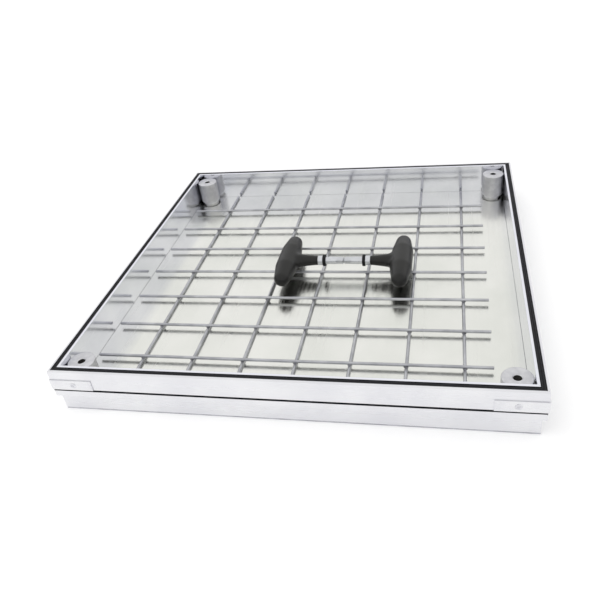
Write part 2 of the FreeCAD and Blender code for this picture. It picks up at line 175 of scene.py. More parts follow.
@dataclass(frozen=True)
class Finish:
    """A surface: what the piece is made of and how its face was made, with patterns in millimetres."""

    name: str
    slot: str
    colour: str
    worn_colour: str
    roughness: float
    roughness_spread: float

    def material(self) -> bpy.types.Material:
        """Make the finish into a material, the first time that it is asked for.

        Returns:
            The material, shared by all the pieces that have this finish.
        """
        made = bpy.data.materials.get(self.name)
        if made is None:
            made = bpy.data.materials.new(self.name)
            made.use_nodes = True
            made.node_tree.nodes.clear()
            shader = add(made.node_tree, "ShaderNodeBsdfPrincipled")
            add(made.node_tree, "ShaderNodeOutputMaterial", links={"Surface": shader.outputs["BSDF"]})
            self.dress(made.node_tree, shader)
        return made

    def dress(self, tree: Tree, shader: Node) -> None:
        """Set and feed the shader's sockets; each kind of finish has its own way."""
        raise NotImplementedError

    @staticmethod
    def grain(tree: Tree, size: float | Sequence[float], detail: float = 3.0) -> Socket:
        """Cloudy noise in the piece's own coordinates.

        Args:
            tree: The material's node tree.
            size: Millimetres from grain to grain, one for all ways or one each along X, Y and Z.
            detail: Octaves of finer grain.

        Returns:
            The noise, from 0 to 1 about a half.
        """
        lengths = size if isinstance(size, Sequence) else [size] * len(Axis)
        place = add(tree, "ShaderNodeTexCoord")
        scaled = add(tree, "ShaderNodeMapping", {"Scale": [1 / (length * MM) for length in lengths]},
                     {"Vector": place.outputs["Object"]})
        cloud = add(tree, "ShaderNodeTexNoise", {"Scale": 1.0, "Detail": detail},
                    {"Vector": scaled.outputs["Vector"]})
        return cloud.outputs["Fac"]

    def wear(self, tree: Tree, shader: Node, patches: Socket, streaks: Socket) -> None:
        """Feed colour and roughness from two patterns.

        Args:
            tree: The material's node tree.
            shader: The shader to feed.
            patches: Noise that shifts the colour towards the worn one.
            streaks: Noise that spreads the roughness.
        """
        fresh, worn = PATCH_NOISE
        share = add(tree, "ShaderNodeMapRange", {"From Min": fresh, "From Max": worn}, {"Value": patches})
        colour = add(tree, "ShaderNodeMix", {
            "data_type": "RGBA", MIX_FROM: linear(self.colour), MIX_TO: linear(self.worn_colour),
        }, {MIX_SHARE: share.outputs["Result"]})
        least, most = SHEEN_NOISE
        rough = add(tree, "ShaderNodeMapRange", {
            "From Min": least,
            "From Max": most,
            "To Min": self.roughness - self.roughness_spread,
            "To Max": self.roughness + self.roughness_spread,
        }, {"Value": streaks})
        tree.links.new(colour.outputs[MIX_RESULT], shader.inputs["Base Color"])
        tree.links.new(rough.outputs["Result"], shader.inputs["Roughness"])


@dataclass(frozen=True)
class LinedMetal(Finish):
    """Metal that was drawn, extruded or rolled one way, with fine lines along the piece."""

    along: tuple[Axis, ...]
    line_length: float
    line_width: float
    line_depth: float
    patch: float
    wave: float = 0.0
    wave_depth: float = 0.0

    def dress(self, tree: Tree, shader: Node) -> None:
        """Lines in sheen and relief, patches from handling in the colour, and slow waves where it has them.

        Args:
            tree: The material's node tree.
            shader: The shader to feed.
        """
        lines = self.grain(
            tree, [self.line_length if axis in self.along else self.line_width for axis in Axis])
        self.wear(tree, shader, self.grain(tree, self.patch), lines)
        relief = add(tree, "ShaderNodeBump", {"Strength": 1.0, "Distance": self.line_depth * MM},
                     {"Height": lines})
        if self.wave:
            waves = self.grain(tree, self.wave, detail=0.0)
            relief = add(tree, "ShaderNodeBump", {"Strength": 1.0, "Distance": self.wave_depth * MM},
                         {"Height": waves, "Normal": relief.outputs["Normal"]})
        tree.links.new(relief.outputs["Normal"], shader.inputs["Normal"])
        shader.inputs["Metallic"].default_value = 1.0


@dataclass(frozen=True)
class TurnedMetal(Finish):
    """Metal turned on a lathe, with tool marks in rings on its end faces and round its sides."""

    about: Axis
    feed: float
    mark_depth: float
    mark_shade: float
    patch: float

    def dress(self, tree: Tree, shader: Node) -> None:
        """Tool marks in tone and relief, and clouds of plating.

        Args:
            tree: The material's node tree.
            shader: The shader to feed.
        """
        place = add(tree, "ShaderNodeTexCoord")
        scale = math.tau / WAVE_UNIT / (self.feed * MM)
        marks = [
            add(tree, "ShaderNodeTexWave",
                {"wave_type": kind, setting: self.about.name, "Scale": scale, "Distortion": MARK_WAVER},
                {"Vector": place.outputs["Object"]}).outputs["Fac"]
            for kind, setting in (("RINGS", "rings_direction"), ("BANDS", "bands_direction"))
        ]
        both = add(tree, "ShaderNodeMath", {"operation": "ADD"}, dict(enumerate(marks))).outputs["Value"]
        shade = add(tree, "ShaderNodeMapRange", {
            "From Max": float(len(marks)), "To Min": -self.mark_shade, "To Max": self.mark_shade,
        }, {"Value": both})
        clouds = self.grain(tree, self.patch)
        patches = add(tree, "ShaderNodeMath", {"operation": "ADD"}, {0: clouds, 1: shade.outputs["Result"]})
        self.wear(tree, shader, patches.outputs["Value"], self.grain(tree, self.patch / SHEEN_FINENESS))
        relief = add(tree, "ShaderNodeBump", {"Strength": 1.0, "Distance": self.mark_depth * MM},
                     {"Height": both})
        tree.links.new(relief.outputs["Normal"], shader.inputs["Normal"])
        shader.inputs["Metallic"].default_value = 1.0


@dataclass(frozen=True)
class Moulded(Finish):
    """Rubber or plastic, dull or with the fine texture of its mould."""

    refraction: float
    reflection: float
    texture: float
    texture_depth: float
    patch: float

    def dress(self, tree: Tree, shader: Node) -> None:
        """A fine even relief from the mould or die, and faint patches of dust and touch.

        Args:
            tree: The material's node tree.
            shader: The shader to feed.
        """
        patches = self.grain(tree, self.patch)
        self.wear(tree, shader, patches, patches)
        relief = add(tree, "ShaderNodeBump", {"Strength": 1.0, "Distance": self.texture_depth * MM},
                     {"Height": self.grain(tree, self.texture, detail=1.0)})
        tree.links.new(relief.outputs["Normal"], shader.inputs["Normal"])
        shader.inputs["IOR"].default_value = self.refraction
        shader.inputs["Specular IOR Level"].default_value = self.reflection


# Lines from die, roll and draw plate, tool marks and the texture of moulds are a few times finer on
# the real pieces. They are drawn as coarse as they need to be to show.

# Mill-finish extrusion: pale satin metal, streaked along the bar by the die
FRAME_EXTRUSION = LinedMetal(
    "Aluminium_extruded_mill_finish", "frame_aluminium", "#E9E9EB", "#DFDFE3",
    roughness=0.3, roughness_spread=0.06,
    along=(Axis.X,), line_length=180, line_width=1.5, line_depth=0.01, patch=55)
# The shadow groove's faces are painted dark: painted shade that stands in for the shadow inside the groove
GROOVE_PAINTED_SHADE = LinedMetal(
    "Aluminium_extruded_groove_oxide", "frame_aluminium", "#4E4E54", "#3F3F45",
    roughness=0.7, roughness_spread=0.1,
    along=(Axis.X,), line_length=60, line_width=1.5, line_depth=0.01, patch=25)
# The frame's foot has a grey strip painted along it: a painted contact shadow where it meets the floor
FOOT_PAINTED_SHADOW = LinedMetal(
    "Aluminium_extruded_foot_grit", "frame_aluminium", "#C4C4CA", "#ABABB2",
    roughness=0.55, roughness_spread=0.1,
    along=(Axis.X,), line_length=30, line_width=1.5, line_depth=0.03, patch=12)
# Rolled strip, folded: the same metal with its lines along the legs
ANGLE_STRIP = LinedMetal(
    "Aluminium_rolled_strip_folded", "frame_aluminium", "#E7E7E9", "#DEDEE2",
    roughness=0.28, roughness_spread=0.05,
    along=(Axis.X, Axis.Y), line_length=40, line_width=1.3, line_depth=0.006, patch=18)
# Blind rivets: drawn and tumbled aluminium, an even fine dimple, a little greyer than the frame
RIVET_HEAD = LinedMetal(
    "Aluminium_blind_rivet_tumbled", "rivet_aluminium", "#DEDEE2", "#CFCFD4",
    roughness=0.3, roughness_spread=0.08,
    along=(), line_length=0.7, line_width=0.7, line_depth=0.02, patch=2.5)
# Bright extrusion: smooth enough to mirror the wires that stand before it, cool in colour
TRAY_EXTRUSION = LinedMetal(
    "Aluminium_extruded_bright", "tray_aluminium", "#ECEDF3", "#E3E4EC",
    roughness=0.14, roughness_spread=0.04,
    along=(Axis.X,), line_length=200, line_width=1.4, line_depth=0.004, patch=45)
# Bright rolled sheet: shows what stands on it, blurred with distance, streaked along the way of rolling,
# and not quite flat
FLOOR_SHEET = LinedMetal(
    "Aluminium_bright_rolled_sheet", "tray_bright_sheet", "#E9E9E4", "#E0E1DB",
    roughness=0.215, roughness_spread=0.06,
    along=(Axis.Y,), line_length=240, line_width=2.2, line_depth=0.002, patch=70, wave=55, wave_depth=0.12)
# Turned posts, zinc plated: pale grey with a lathe's rings
SOCKET_STEEL = TurnedMetal(
    "Steel_turned_zinc_plated", "socket_steel", "#D8D8DA", "#C8C8CB",
    roughness=0.42, roughness_spread=0.08,
    about=Axis.Z, feed=1.2, mark_depth=0.03, mark_shade=0.16, patch=6)
# The tapped hole is greased, and painted darker still as painted shade for the shadow deep inside it
BORE_GREASE_AND_SHADE = TurnedMetal(
    "Steel_tapped_hole_greased", "socket_steel", "#3A3937", "#2B2A29",
    roughness=0.4, roughness_spread=0.1,
    about=Axis.Z, feed=1.2, mark_depth=0.01, mark_shade=0.05, patch=3)
# Cold-drawn wire, galvanised and dulled: grey with lengthwise streaks
WIRE_STEEL = LinedMetal(
    "Steel_wire_drawn_galvanised", "mesh_wire", "#C0C1C4", "#A8A9AD",
    roughness=0.34, roughness_spread=0.08,
    along=(Axis.Y,), line_length=40, line_width=1.1, line_depth=0.015, patch=14)
# Weld flash: squeezed out hot, dark and rough
WELD_STEEL = LinedMetal(
    "Steel_resistance_weld_flash", "mesh_wire", "#97979B", "#7C7C81",
    roughness=0.45, roughness_spread=0.12,
    along=(Axis.Z,), line_length=1.5, line_width=1.5, line_depth=0.06, patch=3)
# Extruded rubber: matt black with a faint bloom
SEAL_RUBBER = Moulded(
    "EPDM_rubber_extruded", "seal_rubber", "#18181B", "#222226",
    roughness=0.66, roughness_spread=0.1,
    refraction=1.5, reflection=0.3, texture=0.8, texture_depth=0.05, patch=30)
# Glass-filled nylon from a spark-eroded mould: charcoal with a soft gloss
GRIP_NYLON = Moulded(
    "Nylon_moulded_spark_eroded", "grip_plastic", "#141413", "#1E1E1C",
    roughness=0.38, roughness_spread=0.07,
    refraction=1.53, reflection=0.3, texture=0.9, texture_depth=0.08, patch=16)
# Bright zinc on drawn bar: pale and cool
SHANK_STEEL = TurnedMetal(
    "Steel_bar_bright_zinc", "shank_steel", "#D5D7D9", "#CBCDD0",
    roughness=0.3, roughness_spread=0.04,
    about=Axis.X, feed=0.9, mark_depth=0.006, mark_shade=0.1, patch=5)
# Moulded washer: dead black
WASHER_RUBBER = Moulded(
    "Nitrile_rubber_moulded", "washer_rubber", "#121214", "#1B1B1D",
    roughness=0.68, roughness_spread=0.08,
    refraction=1.52, reflection=0.25, texture=0.7, texture_depth=0.04, patch=4)


# Shapes

ARC_STEPS = 4        # edges that stand for a small rounding
FINE_ARC_STEPS = 6   # and for one that shows
SHARP_DEGREES = 40   # edges that turn by more stay sharp
THREAD_FLAT = 0.2    # flat of a thread at crest and root, as a share of its depth
RINGS_PER_TURN = 10  # of a thread


def rounded(corners: Sequence[tuple[float, float, float]], steps: int = ARC_STEPS) -> Outline:
    """Round the corners of a closed outline.

    Args:
        corners: Across, up and radius of each corner; a radius of 0 keeps it sharp.
        steps: Edges that stand for each arc.

    Returns:
        The outline's points in order.
    """
    points = []
    for index, (across, up, radius) in enumerate(corners):
        here = Vector((across, up))
        if not radius:
            points.append(here.to_tuple())
            continue
        before = (Vector(corners[index - 1][:2]) - here).normalized()
        after = (Vector(corners[(index + 1) % len(corners)][:2]) - here).normalized()
        half = before.angle(after) / 2
        centre = here + (before + after).normalized() * radius / math.sin(half)
        start = here + before * radius / math.tan(half) - centre
        end = here + after * radius / math.tan(half) - centre
        sweep = math.atan2(start.x * end.y - start.y * end.x, start.dot(end))
        for step in range(steps + 1):
            points.append((centre + Matrix.Rotation(sweep * step / steps, 2) @ start).to_tuple())
    return points


def shrunk(outline: Outline, amount: float) -> Outline:
    """Move each point of a closed outline inwards.

    Args:
        outline: The points in order.
        amount: Millimetres to move each point.

    Returns:
        The moved points.
    """
    pairs = list(zip(outline, outline[1:] + outline[:1]))
    area = sum(ax * bz - bx * az for (ax, az), (bx, bz) in pairs)
    way = math.copysign(amount, area)
    moved = []
    for index, point in enumerate(outline):
        before = Vector(point) - Vector(outline[index - 1])
        after = Vector(outline[(index + 1) % len(outline)]) - Vector(point)
        run = before.normalized() + after.normalized()
        inwards = Vector((-run.y, run.x)).normalized()
        moved.append((Vector(point) + inwards * way).to_tuple())
    return moved


def skin(shape: Shape, rings: Rings, ends: Ends, place: Matrix = IN_PLACE) -> None:
    """Add a stack of closed rings to a shape, with faces between them.

    Args:
        shape: The shape that takes them.
        rings: Points in millimetres, as many in each ring.
        ends: What becomes of the first and last ring.
        place: Where the stack goes, in millimetres.
    """
    made = [[shape.verts.new((place @ point) * MM) for point in ring] for ring in rings]
    pairs = list(zip(made, made[1:]))
    if ends is Ends.LOOPED:
        pairs.append((made[-1], made[0]))
    for lower, upper in pairs:
        for index in range(len(lower)):
            after = (index + 1) % len(lower)
            shape.faces.new((lower[index], lower[after], upper[after], upper[index]))
    if ends is Ends.CAPPED:
        shape.faces.new(reversed(made[0]))
        shape.faces.new(made[-1])


def bar_rings(outline: Outline, half_side: float, ease: float) -> Rings:
    """One side of a square frame, at the back, mitred at both ends.

    Args:
        outline: Distance in from the frame's outer face, and height, of each point of the profile.
        half_side: Half the frame's side over its outer faces.
        ease: Width of the bevel round each mitre.

    Returns:
        Four rings, from the left end to the right.
    """
    cut = shrunk(outline, ease)
    rows = ((-1, 0, cut), (-1, ease, outline), (1, ease, outline), (1, 0, cut))
    return [
        [Vector((way * (half_side - inwards - back), half_side - inwards, up)) for inwards, up in profile]
        for way, back, profile in rows
    ]


def plate_rings(outline: Outline, low: float, high: float, ease: float) -> Rings:
    """A flat outline raised between two heights, with eased edges.

    Args:
        outline: The plate's outline from above.
        low: Height of its underside.
        high: Height of its top.
        ease: Width of the bevel round both.

    Returns:
        Four rings, from the underside to the top.
    """
    cut = shrunk(outline, ease)
    rows = ((low, cut), (low + ease, outline), (high - ease, outline), (high, cut))
    return [[Vector((across, along, height)) for across, along in profile] for height, profile in rows]


def tooth(phase: float) -> float:
    """A thread's section from 0 at its crest to 1 at its root, with narrow flats at both."""
    slope = 2 * abs(phase - math.floor(phase) - 0.5)
    return min(1.0, max(0.0, (1 + 2 * THREAD_FLAT) * slope - THREAD_FLAT))


def turned_rings(profile: Turning, steps: int, pitch: float = 1.0) -> Rings:
    """A profile turned about Z, with a thread where it asks for one.

    Args:
        profile: Radius, height and depth of thread of each ring; the depth is added at the thread's root.
        steps: Points round each ring.
        pitch: Pitch of the thread.

    Returns:
        The rings in the profile's order.
    """
    rings = []
    for radius, height, depth in profile:
        ring = []
        for step in range(steps):
            angle = math.tau * step / steps
            reach = radius + depth * tooth(height / pitch - step / steps)
            ring.append(Vector((reach * math.cos(angle), reach * math.sin(angle), height)))
        rings.append(ring)
    return rings


def plain(outline: Outline) -> Turning:
    """An outline as a turned profile with no thread."""
    return [(radius, height, 0.0) for radius, height in outline]


def threaded(radius: float, depth: float, low: float, high: float, pitch: float) -> Turning:
    """A threaded stretch of a turned profile, fading in and out over a turn.

    Args:
        radius: Radius at the crests.
        depth: From crest to root, negative where the root lies nearer the axis.
        low: Height where it starts.
        high: Height where it ends.
        pitch: Pitch of the thread.

    Returns:
        Rings for turned_rings, without the one that the thread starts from.
    """
    count = round(abs(high - low) / pitch * RINGS_PER_TURN)
    rows = []
    for step in range(1, count + 1):
        height = low + (high - low) * step / count
        fade = min(1.0, abs(height - low) / pitch, abs(high - height) / pitch)
        rows.append((radius, height, depth * fade))
    return rows


# Pieces


def new_piece(name: str, mesh: Mesh) -> Piece:
    """Make an object of a mesh, which others may share.

    Args:
        name: The piece's name.
        mesh: Its mesh.

    Returns:
        The object, linked to the scene.
    """
    piece = bpy.data.objects.new(name, mesh)
    bpy.context.scene.collection.objects.link(piece)
    return piece


def baked(piece: Piece) -> Mesh:
    """Take the modifiers off a piece.

    Args:
        piece: The piece, which keeps its own mesh.

    Returns:
        A new mesh, as the modifiers give it.
    """
    mesh = bpy.data.meshes.new_from_object(piece.evaluated_get(bpy.context.evaluated_depsgraph_get()))
    mesh.name = piece.name
    piece.modifiers.clear()
    return mesh


def mesh_of(name: str, shape: Shape) -> Mesh:
    """Make a finished shape into a mesh, smooth between its sharp edges and even on its flat faces.

    Args:
        name: The mesh's name.
        shape: The shape, which is freed.

    Returns:
        The mesh.
    """
    bmesh.ops.recalc_face_normals(shape, faces=shape.faces)
    mesh = bpy.data.meshes.new(name)
    shape.to_mesh(mesh)
    shape.free()
    mesh.shade_smooth()
    mesh.set_sharp_from_angle(angle=math.radians(SHARP_DEGREES))
    rough = new_piece(name, mesh)
    rough.modifiers.new("flat_faces_stay_flat", "WEIGHTED_NORMAL").keep_sharp = True
    made = baked(rough)
    bpy.data.objects.remove(rough)
    return made


def ring_mesh(name: str, rings: Rings, ends: Ends = Ends.CAPPED) -> Mesh:
    """Make one stack of rings into a mesh.

    Args:
        name: The mesh's name.
        rings: Points in millimetres, as many in each ring.
        ends: What becomes of the first and last ring.

    Returns:
        The mesh.
    """
    shape = bmesh.new()
    skin(shape, rings, ends)
    return mesh_of(name, shape)


def paint(mesh: Mesh, finishes: Sequence[Finish], choose: Callable[[Face], Finish]) -> None:
    """Give each face of a mesh one of several finishes.

    Args:
        mesh: The mesh.
        finishes: The finishes, in the order of their slots.
        choose: Says which of them a face has.
    """
    for finish in finishes:
        mesh.materials.append(finish.material())
    for face in mesh.polygons:
        face.material_index = finishes.index(choose(face))


def dress(piece: Piece, finish: Finish, *nodes: str) -> Piece:
    """Finish a piece, let it ride on the cover, and have it stand for the nodes it replaces.

    Args:
        piece: The piece, in place.
        finish: Its finish, unless its mesh has been painted.
        nodes: Nodes of the frame that it replaces.

    Returns:
        The same piece.
    """
    if not piece.data.materials:
        piece.data.materials.append(finish.material())
    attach(piece, BODY)
    if nodes:
        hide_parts(*nodes)
    return piece


def dress_node(name: str, finish: Finish) -> Piece:
    """Give a node that keeps its shape a finish.

    Args:
        name: The node's name.
        finish: Its finish.

    Returns:
        The node's object.
    """
    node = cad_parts[name]
    if not node.material_slots:
        node.data.materials.append(None)
    for slot in node.material_slots:
        slot.material = finish.material()
    return node


def all_round(places: type[Place], node: str, word: str, mesh: Mesh, finish: Finish,
              seat: Vector = ORIGIN) -> Iterator[Piece]:
    """Set a mesh at every side or corner of the cover, turned to it, and dress it.

    Args:
        places: The sides or the corners; the mesh is modelled for the first of them.
        node: What the nodes' names start with, before the place.
        word: What the pieces' names end with, after the place.
        mesh: The mesh that the pieces share.
        finish: Their finish.
        seat: Where the mesh's own origin stands at the first place, in metres.

    Yields:
        The dressed pieces.
    """
    for place in places:
        name = f"{node}_{place.label}"
        piece = new_piece(f"{name}_{word}", mesh)
        piece.location = Matrix.Rotation(place.turn, 3, "Z") @ seat
        piece.rotation_euler.z = place.turn
        yield dress(piece, finish, name)


def box_of(name: str) -> tuple[Vector, Vector]:
    """A node's lowest and highest corners, in millimetres."""
    low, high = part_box(name)
    return low / MM, high / MM


# The cover's sub-assemblies

# A blind rivet's outline: shares of the mandrel's radius and the head's height, from the mandrel's broken
# end to the dome round it, and then shares of the head's radius and height, from there to the rim
RIVET_MIDDLE = ((0.3, 0.45), (0.85, 0.4), (1.0, 0.25), (1.1, 0.3), (1.35, 0.85), (1.7, 1.0))
RIVET_DOME = ((0.72, 0.9), (0.9, 0.62), (1.0, 0.25), (0.99, 0.0))
MITRE_NORMAL = 0.5  # a face that looks along its bar by more than this is part of the mitre


@dataclass
class Frame:
    """Mitred aluminium frame with its seals, corner angles and rivets."""

    wall: float = 2.2
    rim_bevel: float = 0.8
    groove_bottom: float = 24.5
    groove_height: float = 2.2
    groove_depth: float = 2.4
    lip_bottom: float = 18.0
    band_step: float = 3.0
    ledge_thickness: float = 3.5
    rib_reach: float = 2.6
    rib_thickness: float = 2.0
    edge_radius: float = 0.3
    groove_edge: float = 0.12
    foot_line: float = 1.4
    mitre_ease: float = 0.15
    seal_ease: float = 0.05
    seal_round: float = 1.3
    seal_groove_width: float = 1.2
    seal_groove_depth: float = 0.8
    angle_thickness: float = 1.0
    angle_leg: float = 40.0
    angle_bend: float = 1.1
    angle_ease: float = 0.15
    rivet_place: float = 22.0
    rivet_shank_radius: float = 1.6
    rivet_head_radius: float = 2.9
    rivet_head_height: float = 0.7
    mandrel_radius: float = 0.8
    rivet_steps: int = 24
    half: float = field(init=False)
    height: float = field(init=False)
    ledge_end: float = field(init=False)

    def __post_init__(self) -> None:
        """Take the outer sizes from the front bar."""
        low, high = box_of("frame_bar_front")
        self.half, self.height, self.ledge_end = -low.y, high.z, high.y - low.y

    def build(self) -> Iterator[Piece]:
        """Build and dress the frame's pieces.

        Yields:
            The pieces, one after the other.
        """
        yield from self.bars()
        yield from self.rim_seals()
        for side in Side:
            yield dress_node(f"rest_seal_{side.label}", SEAL_RUBBER)
        yield from self.angles()
        yield self.rivets()

    def profile(self) -> Outline:
        """The bar's section: upper band, groove, lip, lower band, ledge and the rib for the seal.

        Returns:
            Distance in from the outer face, and height, of each point.
        """
        groove_top = self.groove_bottom + self.groove_height
        block_top = groove_top + self.wall
        band_inner = self.band_step + self.wall
        rib_top = box_of("rim_seal_front")[0].z
        rib_bottom = rib_top - self.rib_thickness
        rib_end = self.wall + self.rib_reach
        edge = self.edge_radius
        return rounded([
            (self.rim_bevel, self.height, edge),
            (0, self.height - self.rim_bevel, edge),
            (0, groove_top, self.groove_edge),
            (self.groove_depth, groove_top, 0),
            (self.groove_depth, self.groove_bottom, 0),
            (0, self.groove_bottom, self.groove_edge),
            (0, self.lip_bottom, edge),
            (self.band_step, self.lip_bottom, edge),
            (self.band_step, self.foot_line, 0),
            (self.band_step, 0, edge),
            (self.ledge_end, 0, edge),
            (self.ledge_end, self.ledge_thickness, edge),
            (band_inner, self.ledge_thickness, edge),
            (band_inner, block_top, edge),
            (self.wall, block_top, edge),
            (self.wall, rib_bottom, edge),
            (rib_end, rib_bottom, edge),
            (rib_end, rib_top, edge),
            (self.wall, rib_top, edge),
            (self.wall, self.height, edge),
        ])

    def bars(self) -> Iterator[Piece]:
        """Four bars of one section, with painted shade in the groove and a painted contact shadow along the
        foot.

        Returns:
            The dressed bars.
        """
        mesh = ring_mesh("frame_bar", bar_rings(self.profile(), self.half, self.mitre_ease))
        paint(mesh, (FRAME_EXTRUSION, GROOVE_PAINTED_SHADE, FOOT_PAINTED_SHADOW), self.bar_finish)
        return all_round(Side, "frame_bar", "extrusion", mesh, FRAME_EXTRUSION)

    def bar_finish(self, face: Face) -> Finish:
        """The finish of one face of the back bar, by where on the section it lies.

        Args:
            face: The face.

        Returns:
            Its finish.
        """
        inwards, height = self.half - face.center.y / MM, face.center.z / MM
        margin = self.groove_edge
        if abs(face.normal.x) > MITRE_NORMAL or inwards > self.band_step + margin:
            return FRAME_EXTRUSION
        # Faces inside the groove take the painted shade
        if inwards > margin and -margin < height - self.groove_bottom < self.groove_height + margin:
            return GROOVE_PAINTED_SHADE
        # Faces below the foot line take the painted contact shadow
        return FOOT_PAINTED_SHADOW if height < self.foot_line else FRAME_EXTRUSION

    def rim_seals(self) -> Iterator[Piece]:
        """Four strips of rubber with two soft lips, between the frame and the tray.

        Returns:
            The dressed strips.
        """
        low, high = box_of("rim_seal_front")
        outer, inner = self.half + low.y, self.half + high.y
        middle, lip = (outer + inner) / 2, self.seal_groove_width / 2
        edge = self.edge_radius
        outline = rounded([
            (outer, low.z, edge),
            (inner, low.z, edge),
            (inner, high.z, self.seal_round),
            (middle + lip, high.z, edge),
            (middle, high.z - self.seal_groove_depth, edge),
            (middle - lip, high.z, edge),
            (outer, high.z, self.seal_round),
        ])
        mesh = ring_mesh("rim_seal", bar_rings(outline, self.half, self.seal_ease))
        return all_round(Side, "rim_seal", "strip", mesh, SEAL_RUBBER)

    def angles(self) -> Iterator[Piece]:
        """Four folded angles on the outside of the corners.

        Returns:
            The dressed angles.
        """
        low, high = box_of(f"corner_angle_{Corner.BACK_RIGHT.label}")
        outside, leg_end = self.half + self.angle_thickness, self.half - self.angle_leg
        edge = self.edge_radius
        outline = rounded([
            (self.half, self.half, 0),
            (leg_end, self.half, edge),
            (leg_end, outside, edge),
            (outside, outside, self.angle_bend),
            (outside, leg_end, edge),
            (self.half, leg_end, edge),
        ], FINE_ARC_STEPS)
        mesh = ring_mesh("corner_angle", plate_rings(outline, low.z, high.z, self.angle_ease))
        return all_round(Corner, "corner_angle", "strip", mesh, ANGLE_STRIP)

    def rivet_profile(self) -> Outline:
        """A blind rivet from its mandrel's broken end, over the head, to the end of its shank.

        Returns:
            Radius, and height over the angle, of each point.
        """
        top = self.rivet_head_height
        return [
            *((self.mandrel_radius * out, top * up) for out, up in RIVET_MIDDLE),
            *((self.rivet_head_radius * out, top * up) for out, up in RIVET_DOME),
            (self.rivet_shank_radius, 0.0),
            (self.rivet_shank_radius, -self.angle_thickness - self.wall),
        ]

    def rivets(self) -> Piece:
        """Eight blind rivets, one through each leg of the angles.

        Returns:
            The dressed rivets, as one piece.
        """
        low, high = box_of("corner_rivets")
        across, outside = self.half - self.rivet_place, self.half + self.angle_thickness
        rings = turned_rings(plain(self.rivet_profile()), self.rivet_steps)
        outwards = Matrix.Rotation(-QUARTER_TURN, 4, "X")
        shape = bmesh.new()
        for side in Side:
            for way in (-1, 1):
                seat = Matrix.Translation((way * across, outside, (low.z + high.z) / 2))
                skin(shape, rings, Ends.CAPPED, Matrix.Rotation(side.turn, 4, "Z") @ seat @ outwards)
        piece = new_piece("corner_rivets_blind", mesh_of("corner_rivets", shape))
        return dress(piece, RIVET_HEAD, "corner_rivets")


@dataclass
class Tray:
    """Bright tray: four mitred edges, the bright floor and a lifting socket in each corner."""

    wall: float = 2.4
    foot_thickness: float = 3.0
    edge_radius: float = 0.4
    mitre_ease: float = 0.12
    socket_bevel: float = 1.0
    socket_foot_bevel: float = 0.5
    socket_foot_radius: float = 10.0
    socket_foot_height: float = 3.0
    bore_radius: float = 3.4
    bore_depth: float = 20.0
    bore_mouth: float = 0.9
    bore_mouth_bevel: float = 0.25
    bore_tip: float = 2.0
    bore_tip_radius: float = 0.34
    thread_pitch: float = 1.25
    thread_depth: float = 0.6
    socket_steps: int = 48

    def build(self) -> Iterator[Piece]:
        """Build and dress the tray's pieces.

        Yields:
            The pieces, one after the other.
        """
        yield from self.edges()
        yield dress_node("tray_floor", FLOOR_SHEET)
        yield from self.sockets()

    def edges(self) -> Iterator[Piece]:
        """Four edges of one section: the wall up to the rim, and the foot that carries the floor.

        Returns:
            The dressed edges.
        """
        low, high = box_of("tray_edge_front")
        half = -box_of("frame_bar_front")[0].y
        outer, foot_end = half + low.y, half + high.y
        inner, foot_top = outer + self.wall, low.z + self.foot_thickness
        edge = self.edge_radius
        outline = rounded([
            (outer, low.z, edge),
            (outer, high.z, edge),
            (inner, high.z, edge),
            (inner, foot_top, 0),
            (foot_end, foot_top, edge),
            (foot_end, low.z, edge),
        ])
        mesh = ring_mesh("tray_edge", bar_rings(outline, half, self.mitre_ease))
        return all_round(Side, "tray_edge", "extrusion", mesh, TRAY_EXTRUSION)

    def sockets(self) -> Iterator[Piece]:
        """Four turned posts with a threaded hole down the middle.

        Returns:
            The dressed posts.
        """
        low, high = box_of(f"lifting_socket_{Corner.BACK_RIGHT.label}")
        radius, tall = (high.x - low.x) / 2, high.z - low.z
        bore_top, bore_bottom = tall - self.bore_mouth, tall - self.bore_depth
        bore_end = bore_bottom - self.bore_tip
        outside = rounded([
            (self.socket_foot_radius, 0, 0),
            (self.socket_foot_radius, self.socket_foot_height, self.socket_foot_bevel),
            (radius, self.socket_foot_height, self.socket_foot_bevel),
            (radius, tall, self.socket_bevel),
            (self.bore_radius + self.bore_mouth, tall, self.bore_mouth_bevel),
            (self.bore_radius, bore_top, 0),
        ], FINE_ARC_STEPS)
        thread = threaded(self.bore_radius, self.thread_depth, bore_top, bore_bottom, self.thread_pitch)
        tip = [(self.bore_tip_radius, bore_end)]
        rings = turned_rings(plain(outside) + thread + plain(tip), self.socket_steps, self.thread_pitch)

        def finish_of(face: Face) -> Finish:
            """Grease and painted shade inside the hole below its mouth, and bare steel elsewhere."""
            in_bore = face.center.xy.length < (self.bore_radius + self.thread_depth) * MM
            return BORE_GREASE_AND_SHADE if in_bore and bore_end < face.center.z / MM < bore_top else SOCKET_STEEL

        mesh = ring_mesh("lifting_socket", rings)
        paint(mesh, (SOCKET_STEEL, BORE_GREASE_AND_SHADE), finish_of)
        middle = (low + high) / 2
        seat = Vector((middle.x, middle.y, low.z)) * MM
        return all_round(Corner, "lifting_socket", "post", mesh, SOCKET_STEEL, seat)


